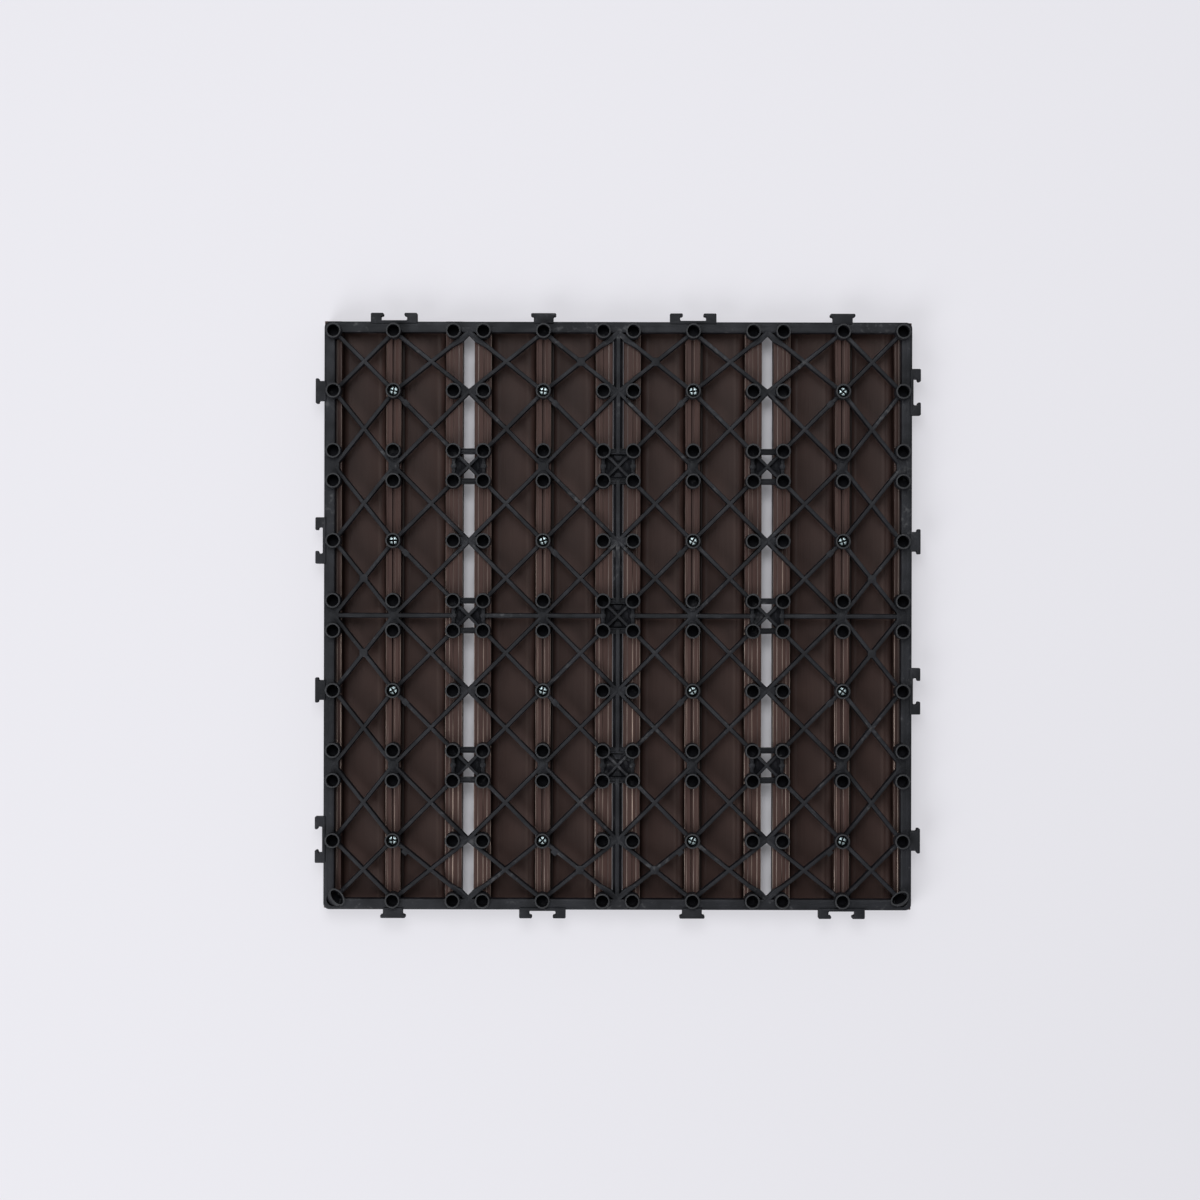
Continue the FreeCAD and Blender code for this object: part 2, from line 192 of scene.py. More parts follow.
def inset_outlines(outlines, distance):
    """Move every corner of anticlockwise outlines inwards along its mitre, so each side moves by the distance."""
    ahead = np.roll(outlines, -1, axis=-2) - outlines
    normal = np.stack([-ahead[..., 1], ahead[..., 0]], -1) / np.linalg.norm(ahead, axis=-1, keepdims=True)
    before = np.roll(normal, 1, axis=-2)
    mitre = (normal + before) / (1 + (normal * before).sum(-1, keepdims=True))
    return outlines + distance * mitre


def prisms(shell, outlines, low, high, soft=edge_soft, draft=0.0):
    """Upright prisms: sides lean in from -draft to +draft as they rise, then turn over a quarter circle."""
    outlines = np.asarray(outlines, dtype=float)
    turns = np.linspace(0, math.pi / 2, 4)
    insets = np.concatenate([[-draft], draft + soft * (1 - np.cos(turns))])
    heights = np.concatenate([[low], high - soft + soft * np.sin(turns)])
    level = outlines.shape[:2] + (1,)
    rings = [np.concatenate([inset_outlines(outlines, inset), np.full(level, height)], -1)
             for inset, height in zip(insets, heights)]
    forms = np.stack(rings, 1)
    count, rows, corners = forms.shape[:3]
    faces = ring_faces(rows, corners)
    shell.copies(forms.reshape(count, rows * corners, 3), faces, end_caps(rows, corners))


def cut_corners(outlines, size):
    """Replace each corner of closed outlines by two points, a fixed distance along its two sides."""
    before, after = np.roll(outlines, 1, axis=-2), np.roll(outlines, -1, axis=-2)
    back = (before - outlines) / np.linalg.norm(before - outlines, axis=-1, keepdims=True)
    ahead = (after - outlines) / np.linalg.norm(after - outlines, axis=-1, keepdims=True)
    pair = np.stack([outlines + size * back, outlines + size * ahead], -2)
    return pair.reshape(outlines.shape[:-2] + (-1, 2))


def bars(starts, ends, width):
    """Rectangles of one width about the lines from starts to ends: half the width to both sides of each end."""
    starts, ends = np.asarray(starts, float), np.asarray(ends, float)
    along = (ends - starts) / np.linalg.norm(ends - starts, axis=-1, keepdims=True)
    side = np.stack([along[:, 1], -along[:, 0]], -1) * width / 2
    return np.stack([starts + side, ends + side, ends - side, starts - side], 1)


def boxes(centres, sizes):
    """Rectangles about their centres: half of each size both ways."""
    centres, sizes = np.asarray(centres, float), np.asarray(sizes, float)
    signs = np.array([(-1, -1), (1, -1), (1, 1), (-1, 1)]) / 2
    return centres[:, None] + signs[None] * np.broadcast_to(sizes, centres.shape)[:, None]


def turned(shell, centres, profile, segments=20):
    """Surfaces of revolution: a profile of radius and height goes round upright axes and is capped."""
    profile = np.asarray(profile, float)
    angle = np.linspace(0, 2 * math.pi, segments, endpoint=False)
    ring = np.stack([np.cos(angle), np.sin(angle)], -1)
    plane = profile[:, 0, None, None] * ring[None]
    height = np.broadcast_to(profile[:, 1, None, None], plane.shape[:2] + (1,))
    form = np.concatenate([plane, height], -1).reshape(-1, 3)
    centres = np.asarray(centres, float)
    forms = form[None] + np.concatenate([centres, np.zeros((len(centres), 1))], -1)[:, None]
    rows = len(profile)
    shell.copies(forms, ring_faces(rows, segments), end_caps(rows, segments))


def pairs(first, second):
    """Every pair of one value from each list."""
    grid = np.meshgrid(first, second, indexing="ij")
    return np.stack(grid, -1).reshape(-1, 2)


# Materials

def node(tree, kind, **settings):
    """A new node, laid out with the others of its tree in rows."""
    made = tree.nodes.new(kind)
    row, column = divmod(len(tree.nodes), NODES_IN_ROW)
    made.location = (NODE_GAP * (column - NODES_IN_ROW), -NODE_GAP * row)
    for name, setting in settings.items():
        setattr(made, name, setting)
    return made


def feed(tree, socket, value):
    """Join another node's output to a socket, or set a plain number or colour on it."""
    if isinstance(value, bpy.types.NodeSocket):
        tree.links.new(value, socket)
    elif isinstance(value, tuple):
        socket.default_value = (*value, 1)
    else:
        socket.default_value = value


def maths(tree, operation, *values):
    """One step of arithmetic on other nodes' outputs and plain numbers."""
    made = node(tree, "ShaderNodeMath", operation=operation)
    for socket, value in zip(made.inputs, values):
        feed(tree, socket, value)
    return made.outputs[0]


def mixed(tree, mask, under, over, blend="MIX"):
    """Two colours mixed by a mask, each a plain colour or another node's output."""
    made = node(tree, "ShaderNodeMix", data_type="RGBA", blend_type=blend)
    for index, value in ((0, mask), (6, under), (7, over)):
        feed(tree, made.inputs[index], value)
    return made.outputs[2]


def carried(tree, value, start, end, at_start=0.0, at_end=1.0, way="LINEAR"):
    """A value carried over from one range to another and held at both ends."""
    made = node(tree, "ShaderNodeMapRange", interpolation_type=way)
    for name, setting in (("From Min", start), ("From Max", end), ("To Min", at_start), ("To Max", at_end)):
        made.inputs[name].default_value = setting
    tree.links.new(value, made.inputs["Value"])
    return made.outputs["Result"]


def spread_value(tree, mask, low, high):
    """A mask of 0 to 1 spread from one value to another."""
    return carried(tree, mask, 0.0, 1.0, low, high)


def coordinate(tree, axis, source="Object"):
    """The piece's own coordinate along one axis, in metres, or with the source Normal its surface's direction."""
    places = node(tree, "ShaderNodeTexCoord")
    axes = node(tree, "ShaderNodeSeparateXYZ")
    tree.links.new(places.outputs[source], axes.inputs["Vector"])
    return axes.outputs[axis]


def height_ramp(tree, low, high, at_low=0.0, at_high=1.0):
    """A value that changes steadily between two heights in millimetres."""
    return carried(tree, coordinate(tree, "Z"), low * MM, high * MM, at_low, at_high)


def near_place(tree, value, place, half_width):
    """1 where the value equals the place, falling to 0 a half width away on both sides, in millimetres."""
    away = maths(tree, "ABSOLUTE", maths(tree, "SUBTRACT", value, place * MM))
    return carried(tree, away, 0.0, half_width * MM, 1.0, 0.0, "SMOOTHSTEP")


def new_material(name):
    material = bpy.data.materials.new(name)
    material.use_nodes = True
    return material, material.node_tree, material.node_tree.nodes["Principled BSDF"]


def set_sockets(tree, shader, settings):
    """Feed the shader's sockets by their names."""
    for name, value in settings.items():
        feed(tree, shader.inputs[name], value)


def add_bump(tree, shader, relief, strength):
    """A fine relief on a material, 0.2 mm deep at full strength."""
    bump = node(tree, "ShaderNodeBump")
    set_sockets(tree, bump, {"Strength": strength, "Distance": 0.2 * MM, "Height": relief})
    tree.links.new(bump.outputs["Normal"], shader.inputs["Normal"])


# Patterns that several materials share

def new_pattern(name):
    """A node group that takes a place and a number of marks per metre, and is to give a mask."""
    tree = bpy.data.node_groups.new(name, "ShaderNodeTree")
    tree.interface.new_socket("Place", in_out="INPUT", socket_type="NodeSocketVector")
    tree.interface.new_socket(SCALE, in_out="INPUT", socket_type="NodeSocketFloat")
    tree.interface.new_socket("Mask", in_out="OUTPUT", socket_type="NodeSocketFloat")
    entry = node(tree, "NodeGroupInput")
    return tree, entry.outputs["Place"], entry.outputs[SCALE]


def give_mask(tree, mask):
    tree.links.new(mask, node(tree, "NodeGroupOutput").inputs["Mask"])
    return tree


def noise(tree, place, scale, detail):
    """Smooth noise of 0 to 1 at a place."""
    made = node(tree, "ShaderNodeTexNoise")
    set_sockets(tree, made, {"Vector": place, "Scale": scale, "Detail": detail})
    return made.outputs["Fac"]


def streak_pattern():
    """Fine streaks along Y: noise on coordinates that are stretched along the board."""
    tree, place, scale = new_pattern("drawn_streaks")
    stretch = node(tree, "ShaderNodeMapping")
    stretch.inputs["Scale"].default_value = (1.0, 0.03, 1.0)
    tree.links.new(place, stretch.inputs["Vector"])
    return give_mask(tree, noise(tree, stretch.outputs["Vector"], scale, 4.0))


def mottle_pattern():
    """Cloudy marks: smooth noise whose middle range is spread to the full range."""
    tree, place, scale = new_pattern("cloudy_marks")
    return give_mask(tree, carried(tree, noise(tree, place, scale, 3.0), 0.35, 0.65))


def scuff_pattern():
    """Scuffs: the rare peaks of the sum of a fine noise and a coarse one."""
    tree, place, scale = new_pattern("pale_scuffs")
    fine = noise(tree, place, scale, 5.0)
    coarse = noise(tree, place, 45.0, 2.0)
    return give_mask(tree, carried(tree, maths(tree, "ADD", fine, coarse), 1.18, 1.36))


STREAKS = streak_pattern()
MOTTLE = mottle_pattern()
SCUFFS = scuff_pattern()


def pattern(tree, group, marks):
    """The mask of a shared pattern, read at the piece's own coordinates."""
    places = node(tree, "ShaderNodeTexCoord")
    made = node(tree, "ShaderNodeGroup")
    made.node_tree = group
    made.inputs[SCALE].default_value = marks
    tree.links.new(places.outputs["Object"], made.inputs["Place"])
    return made.outputs["Mask"]


# Finishes

def moulded_black():
    """Black moulded polypropylene: cloudy flow marks, a satin grain, pale scuffs, foot rims painted paler as a
    highlight, and gloss taken away low down as painted shade in the bores.
    """
    material, tree, shader = new_material("moulded_black")
    clouds = pattern(tree, MOTTLE, 90.0)
    grain = pattern(tree, MOTTLE, 1100.0)
    scuffs = pattern(tree, SCUFFS, 420.0)
    body = mixed(tree, clouds, (0.0068, 0.0070, 0.0088), (0.0150, 0.0153, 0.0190))
    # Painted highlight: the foot rims' tops are coloured paler than the body.
    rim_highlight_mask = height_ramp(tree, rim_plane - 0.25, rim_plane - 0.08)
    rim_highlighted = mixed(tree, rim_highlight_mask, body, (0.030, 0.031, 0.034))
    set_sockets(tree, shader, {
        "Base Color": mixed(tree, scuffs, rim_highlighted, (0.055, 0.056, 0.060)),
        "Roughness": spread_value(tree, clouds, 0.58, 0.46),
        # Painted shade: the gloss fades out towards the bottom, so the bores and low floors stay dark.
        "Specular IOR Level": height_ramp(tree, seat + 0.5, rib_top - 0.6, 0.02, 0.23),
        "Specular Tint": (0.90, 0.95, 1.0),
    })
    add_bump(tree, shader, grain, 0.2)
    return material


def board_x(tree):
    """X wrapped to its distance from the middle of its own board."""
    half = pitch / 2 * MM
    return maths(tree, "WRAP", maths(tree, "SUBTRACT", coordinate(tree, "X"), half), half, -half)


def highlight_bands(tree):
    """Two soft bands of painted highlight along every board, one in each channel."""
    across = board_x(tree)
    first, second = (near_place(tree, across, place, highlight_half) for place in highlight_places)
    return maths(tree, "MAXIMUM", first, second)


def wall_shade_mask(tree):
    """Where the channels' walls get painted shade: 1 from a little above the channels' floors upwards, within the
    channels, and 0 elsewhere.
    """
    low, high = channel_reach
    away = maths(tree, "ABSOLUTE", board_x(tree))
    within = maths(tree, "COMPARE", away, (low + high) / 2 * MM, (high - low) / 2 * MM)
    return maths(tree, "MULTIPLY", height_ramp(tree, *wall_heights), within)


def brown_composite():
    """Brown wood-plastic board, finely streaked along its length and paler on the legs than in the channels; the
    channels' darker colour, the dark of their walls and the dark beside the rim are painted shade, and the
    channels carry bands of painted highlight.
    """
    material, tree, shader = new_material("brown_composite")
    streaks = pattern(tree, STREAKS, 1400.0)
    clouds = pattern(tree, MOTTLE, 40.0)
    upward = coordinate(tree, "Z", "Normal")
    # Painted shade: the channels are coloured darker than the legs' tops, and their walls darker still.
    channels = mixed(tree, streaks, (0.0345, 0.0198, 0.0172), (0.0426, 0.0244, 0.0214))
    channels = mixed(tree, wall_shade_mask(tree), channels, (0.011, 0.0058, 0.0048))
    # Painted highlight: a paler band on the floor of each channel, where its cove begins on the right.
    bands = maths(tree, "MULTIPLY", highlight_bands(tree), upward)
    channels = mixed(tree, bands, channels, (0.050, 0.031, 0.027))
    legs = mixed(tree, streaks, (0.049, 0.0275, 0.0240), (0.068, 0.0385, 0.0340))
    # Painted shadow: the legs are darkened within 5 mm of the rim's line, where the rim shades them.
    rim_shadow_mask = near_place(tree, maths(tree, "ABSOLUTE", coordinate(tree, "X")), rim_line, 5.0)
    legs = mixed(tree, rim_shadow_mask, legs, (0.020, 0.0115, 0.0100))
    leg_tops = maths(tree, "MULTIPLY", height_ramp(tree, *leg_heights), upward)
    brown = mixed(tree, leg_tops, channels, legs)
    tint = mixed(tree, clouds, (0.92, 0.92, 0.92), (1.08, 1.07, 1.05))
    set_sockets(tree, shader, {
        "Base Color": mixed(tree, 1.0, brown, tint, "MULTIPLY"),
        "Roughness": spread_value(tree, streaks, 0.5, 0.4),
        "Specular IOR Level": 0.12,
    })
    add_bump(tree, shader, streaks, 0.3)
    return material


def edge_glint_paint():
    """The boards' corners and groove walls: painted glints of highlight in patches, brighter towards the near end.
    """
    material, tree, shader = new_material("edge_glint_paint")
    patches = spread_value(tree, pattern(tree, STREAKS, 700.0), -1.6, 2.2)
    near_end = carried(tree, coordinate(tree, "Y"), 60 * MM, -60 * MM, 0.3, 1.0)
    # Painted highlight: the glints are stronger towards the near end.
    glints = maths(tree, "MULTIPLY", patches, near_end)
    set_sockets(tree, shader, {
        "Base Color": mixed(tree, glints, (0.045, 0.028, 0.024), (0.50, 0.40, 0.345)),
        "Roughness": 0.35,
    })
    return material


def bright_zinc():
    """Bright zinc plating with a slight blue-green cast and faint marks."""
    material, tree, shader = new_material("bright_zinc")
    marks = pattern(tree, MOTTLE, 1500.0)
    set_sockets(tree, shader, {
        "Metallic": 1.0,
        "Base Color": mixed(tree, marks, (0.36, 0.47, 0.50), (0.80, 0.95, 0.98)),
        "Roughness": spread_value(tree, marks, 0.6, 0.45),
    })
    return material


def shaded_zinc():
    """The recess and the flank of a screw head, dull and painted dark as shade."""
    material, tree, shader = new_material("shaded_zinc")
    marks = pattern(tree, MOTTLE, 1500.0)
    set_sockets(tree, shader, {
        "Base Color": mixed(tree, marks, (0.006, 0.008, 0.009), (0.020, 0.026, 0.028)),
        "Roughness": 0.6,
        "Specular IOR Level": 0.2,
    })
    return material


BLACK = moulded_black()
BROWN = brown_composite()
EDGE = edge_glint_paint()
ZINC = bright_zinc()
SHADED = shaded_zinc()


# The moulded base

def rim_frame():
    """The rim: a section of inset and height carried round a square with round corners, bored for the feet."""
    steps = 8
    quarter = np.linspace(0, math.pi / 2, steps)
    angle = np.concatenate([quarter + turn * math.pi / 2 for turn in range(4)])
    sign = np.repeat(np.array([(1, 1), (-1, 1), (-1, -1), (1, -1)]), steps, axis=0)
    normal = np.stack([np.cos(angle), np.sin(angle)], -1)
    top = rib_top - 2 * layer_step
    outer_side = [(0, seat), (0.08, top - 0.35), (0.16, top - 0.12), (0.4, top)]
    faint_groove = [(2.2, top), (2.6, top - 0.05), (3.0, top)]
    inner_side = [(rim_width - 0.5, top), (rim_width - 0.24, top - 0.1), (rim_width - 0.15, top - 0.35),
                  (rim_width + 0.15, seat)]
    section = np.array(outer_side + faint_groove + inner_side)
    outward = np.maximum(corner_round - section[:, 0], 0.0)
    middle = np.minimum(edge - corner_round, edge - section[:, 0])
    place = sign[None] * middle[:, None, None] + outward[:, None, None] * normal[None]
    height = np.broadcast_to(section[:, 1, None, None], place.shape[:2] + (1,))
    rows, columns = place.shape[:2]
    faces = ring_faces(rows, columns)
    closing = ring_faces(2, columns)
    closing = np.where(closing >= columns, closing - columns, closing + (rows - 1) * columns)
    shell = Shell()
    shell.add(np.concatenate([place, height], -1), np.concatenate([faces, closing]).tolist())
    piece = shell.piece("moulded_rim", BLACK, "black_plastic")
    bored(piece)
    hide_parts("base_grid")


def bored(piece):
    """Take the bores of the rim's feet out of it, as one set of upright round cutters."""
    places = pairs(foot_lines, foot_lines)
    places = places[np.abs(places).max(-1) > rim_line - 1]
    tool = Shell()
    inside_wall = (bore_radius + foot_radius) / 2
    turned(tool, places, [(inside_wall, seat - 1), (inside_wall, rim_plane)])
    cutter = tool.piece("cutter", BLACK, "black_plastic")
    cut = piece.modifiers.new("bores", "BOOLEAN")
    cut.object = cutter
    cut.operation = "DIFFERENCE"
    cut.solver = "EXACT"
    evaluated = piece.evaluated_get(bpy.context.evaluated_depsgraph_get())
    mesh = bpy.data.meshes.new_from_object(evaluated)
    piece.modifiers.clear()
    piece.data = mesh
    mesh.set_sharp_from_angle(angle=SHARP)
    bpy.data.objects.remove(cutter)


def rib_lattice(shell):
    """Crossed ribs: two diagonals in every cell between neighbouring node lines, cut short at feet and boxes."""
    low, high = node_lines[:-1], node_lines[1:]
    cells = pairs(np.arange(len(low)), np.arange(len(low)))
    x0, x1 = low[cells[:, 0]], high[cells[:, 0]]
    y0, y1 = low[cells[:, 1]], high[cells[:, 1]]
    for layer, (starts, ends) in enumerate((((x0, y0), (x1, y1)), ((x0, y1), (x1, y0)))):
        starts, ends = np.stack(starts, -1), np.stack(ends, -1)
        starts, ends = short_of_foot(starts, ends), short_of_foot(ends, starts)
        prisms(shell, bars(starts, ends, rib_width), seat, rib_top - layer * layer_step, draft=rib_draft)


def short_of_foot(points, others):
    """Draw an end on a box's centre back to the foot at the box's corner, and then off the foot to its wall."""
    on_box = near_any(points, boundaries).all(-1)
    away = np.sign(others - points)
    points = np.where(on_box[:, None], points + away * box_half, points)
    on_foot = near_any(points, foot_lines).all(-1)
    along = (others - points) / np.linalg.norm(others - points, axis=-1, keepdims=True)
    return np.where(on_foot[:, None], points + along * foot_inside, points)


def near_any(places, values):
    """Whether each place is within a hundredth of a millimetre of any of the values."""
    return np.abs(np.asarray(places)[..., None] - values).min(-1) < 0.01


def middle_bars(shell):
    """The spine and the crossbar: straight bars between the boxes on the two middle lines, and the key below."""
    inside = box_half - box_side_width / 2
    into_rim = edge - 1
    ends = np.array([(-into_rim, -pitch - inside), (-pitch + inside, -inside), (inside, pitch - inside),
                     (pitch + inside, into_rim)])
    zero = np.zeros(len(ends))
    top = rib_top - 3 * layer_step
    near, far = ends.T
    spine = bars(np.stack([zero, near], -1), np.stack([zero, far], -1), spine_width)
    crossbar = bars(np.stack([near, zero], -1), np.stack([far, zero], -1), crossbar_width)
    for bar in (spine, crossbar):
        prisms(shell, bar, seat, top, draft=rib_draft)
    prisms(shell, boxes([(0, 0)], (key_width, 2 * edge - 0.2)), key_bottom, seat + key_overlap, 0.2)


def pair_webs(shell):
    """Short bars that join two feet across a unit boundary, with a gusset at the far and near rims."""
    across = pairs(boundaries, unit_middles)
    along = across[:, ::-1]
    half_length, half_width, half_waist = box_half - foot_inside, web_width / 2, web_waist / 2
    waisted = np.array([(-half_length, -half_width), (0, -half_waist), (half_length, -half_width),
                        (half_length, half_width), (0, half_waist), (-half_length, half_width)])
    top = rib_top - 4 * layer_step
    prisms(shell, across[:, None] + waisted, seat, top)
    prisms(shell, boxes(along, (web_width + web_fillets, 2 * half_length)), seat, top)
    gusset = np.array([(0, 0), (-9.0, -7.6), (-9.0, -8.3), (-3.2, -5.2), (0, -1.95), (3.2, -5.2), (9.0, -8.3),
                       (9.0, -7.6)])
    at_rim = np.stack([boundaries, np.full(len(boundaries), rim_line)], -1)
    for side in (-1, 1):
        prisms(shell, side * (gusset[None] + at_rim[:, None]), seat, rib_top - 3.5 * layer_step, 0.2)
        on_side = np.stack([np.full(len(boundaries), side * (rim_line - 0.1)), boundaries], -1)
        prisms(shell, boxes(on_side, (web_width + rim_web_fillets, 2 * half_length)), seat,
               rib_top - 1.5 * layer_step)


def square_boxes(shell):
    """The nine boxes: bars between four feet, crossed ribs inside and thin floors beside the board gaps."""
    centres = pairs(boundaries, boundaries)
    top = rib_top - 5 * layer_step
    half_bar = np.array([(box_half - foot_inside, 0.0)])
    half_side = half_bar[:, ::-1]
    lip_shift = np.array([(0.0, (box_bar_width - box_lip_width) / 2)])
    foot_wall = box_half - foot_inside / math.sqrt(2)
    for sign in (-1, 1):
        bar = centres + (0.0, sign * box_half)
        side = centres + (sign * box_half, 0.0)
        prisms(shell, bars(bar - half_bar, bar + half_bar, box_bar_width), seat, top - box_bar_drop,
               draft=box_draft)
        for lip in (bar - lip_shift, bar + lip_shift):
            prisms(shell, bars(lip - half_bar, lip + half_bar, box_lip_width), seat, top, 0.15)
        prisms(shell, bars(side - half_side, side + half_side, box_side_width), seat, top - layer_step,
               draft=box_draft)
        corner = np.array([(foot_wall, sign * foot_wall)])
        prisms(shell, bars(centres - corner, centres + corner, box_rib_width), seat,
               rib_top - (1 + sign) * 0.01, 0.2, 0.12)
        turned(shell, side, rounded_post(box_post_radius, seat, rib_top + 0.1), 14)
    closed = centres[np.abs(centres[:, 0]) < 1]
    half_open = centres[np.abs(centres[:, 0]) > 1]
    oval_place, oval_height, lug_height = 4.6, 1.5, 2.2
    prisms(shell, boxes(closed, (2 * box_half, 2 * box_half)), seat, seat + box_floor, 0.1)
    for sign in (-1, 1):
        floor = sign * box_half * np.array([(0, 0), (1, -1), (1, 1)])
        prisms(shell, half_open[:, None] + floor, seat, seat + box_floor, 0.1)
        prisms(shell, ovals(centres + (sign * oval_place, 0), 0.9, 2.3), seat, seat + oval_height, 0.15)
        lug = sign * np.array([(-2.6, 5.6), (-1.0, 2.9), (1.0, 2.9), (2.6, 5.6)])
        prisms(shell, closed[:, None] + lug[None], seat, seat + lug_height, 0.3)


def ovals(centres, half_width, half_length, segments=14):
    """Ellipses: the half width times the cosine and the half length times the sine of an angle, about centres."""
    angle = np.linspace(0, 2 * math.pi, segments, endpoint=False)
    form = np.stack([half_width * np.cos(angle), half_length * np.sin(angle)], -1)
    return np.asarray(centres)[:, None] + form[None]


def junction_marks(shell):
    """Small pads: beside each screwed foot, on the middle crossings near the rim and between paired feet."""
    screwed = pairs(unit_middles, unit_middles)
    inward = np.stack([-np.sign(screwed[:, 0]), -np.ones(len(screwed))], -1) / math.sqrt(2)
    start, end, pad_width = 6.9, 10.2, 2.8
    beside_screws = bars(screwed + start * inward, screwed + end * inward, pad_width)
    prisms(shell, beside_screws, rib_top - 1.0, rib_top + 0.05, 0.2)
    near_rim = pairs(BOTH_SIDES * pitch / 4, BOTH_SIDES * (rim_line - pitch / 5))
    crossings = np.concatenate([near_rim, near_rim[:, ::-1]])
    prisms(shell, cut_corners(boxes(crossings, (4.2, 4.2)), 0.7), rib_top - 1.5, rib_top + 0.04, 0.3)
    between_feet = pairs(unit_middles, boundaries)
    prisms(shell, cut_corners(boxes(between_feet, (3.4, 4.6)), 0.5), rib_top - 1.5, rib_top + 0.02, 0.3)


def rounded_post(radius, low, high, soft=0.2):
    """The profile of a round post whose top edge is rounded."""
    return [(radius, low), (radius, high - soft), (radius - 0.3 * soft, high - 0.3 * soft), (radius - soft, high)]


def tubular_feet(shell):
    """The feet: a wall, a rounded rim and a blind bore are one profile turned about each foot's axis."""
    places = pairs(foot_lines, foot_lines)
    screwed = np.isin(places, unit_middles).all(-1)
    crushed = (np.abs(places[:, 0]) > rim_line - 1) & (places[:, 1] < 1 - rim_line)
    for group, floor in ((~screwed & ~crushed, bore_floor), (screwed, screw_floor)):
        turned(shell, places[group], foot_profile(floor))


def foot_profile(floor):
    """A foot from its base up its wall, over its rounded rim and down its bore, in radius and height."""
    wall = [(foot_radius + 0.12, seat), (foot_radius + 0.04, rim_plane - 0.2)]
    rim = [(foot_radius - 0.02, rim_plane - 0.06), (foot_radius - 0.14, rim_plane),
           (bore_radius + 0.08, rim_plane)]
    bore = [(bore_radius, rim_plane - 0.08), (bore_radius - 0.1, floor)]
    return wall + rim + bore


def crushed_feet(shell):
    """Two near corner feet: each ring moves and stretches towards an oval rim in step with its height."""
    segments = 24
    stretch, squeeze = 1.15, 0.65
    profile = np.array(foot_profile(bore_floor))
    radius, height = profile[:, :1], profile[:, 1:]
    rise = np.clip((height - rib_top) / (rim_plane - rib_top), 0, 1)
    angle = np.linspace(0, 2 * math.pi, segments, endpoint=False)
    faces = ring_faces(len(profile), segments).tolist()
    faces += [cap.tolist() for cap in end_caps(len(profile), segments)]
    for side, shift, turn in ((-1, (2.6, 1.9), -52), (1, (-1.5, 1.8), 31)):
        cosine, sine = math.cos(math.radians(turn)), math.sin(math.radians(turn))
        u, v = (radius + rise * stretch) * np.cos(angle), (radius - rise * squeeze) * np.sin(angle)
        x = side * rim_line + rise * shift[0] + u * cosine - v * sine
        y = -rim_line + rise * shift[1] + u * sine + v * cosine
        shell.add(np.stack([x, y, np.broadcast_to(height, x.shape)], -1), faces)


def edge_tabs(shell):
    """T-shaped tongues and pairs of hooks, alternating along each side and turned from side to side."""
    tab_top = rib_top + 0.8
    root, front = edge - 1.0, edge + tab_reach
    neck, head, head_thickness, nib_thickness, hook_width, play = 4.95, 6.3, 1.7, 1.6, 5.1, 0.25
    tongue = np.array([(neck, root), (neck, front - head_thickness), (head, front - head_thickness),
                       (head, front)])
    mouth, pocket = neck + play, head + play
    hook = np.array([(pocket + hook_width, root), (pocket + hook_width, front), (mouth, front),
                     (mouth, front - nib_thickness), (pocket, front - nib_thickness), (pocket, edge + 0.5)])
    for half, middles in ((tongue, unit_middles[1::2]), (hook, unit_middles[::2])):
        outline = cut_corners(np.concatenate([half, (half * (-1, 1))[::-1]]), 0.42)
        placed = outline[None] + np.stack([middles, np.zeros(len(middles))], -1)[:, None]
        for cosine, sine in ((1, 0), (0, 1), (-1, 0), (0, -1)):
            spun = placed @ np.array([(cosine, sine), (-sine, cosine)])
            prisms(shell, spun, seat, tab_top, 0.2)


def moulded_base():
    """The rim as one piece, and everything that stands inside it or on it as another."""
    rim_frame()
    shell = Shell()
    for build in (rib_lattice, middle_bars, pair_webs, square_boxes, junction_marks, tubular_feet, crushed_feet,
                  edge_tabs):
        build(shell)
    piece = shell.piece("moulded_base", BLACK, "black_plastic")
    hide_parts("base_grid")


# The boards

def moved(place, shape):
    """A small shape of the section, set at its place."""
    return np.array([place]) + shape


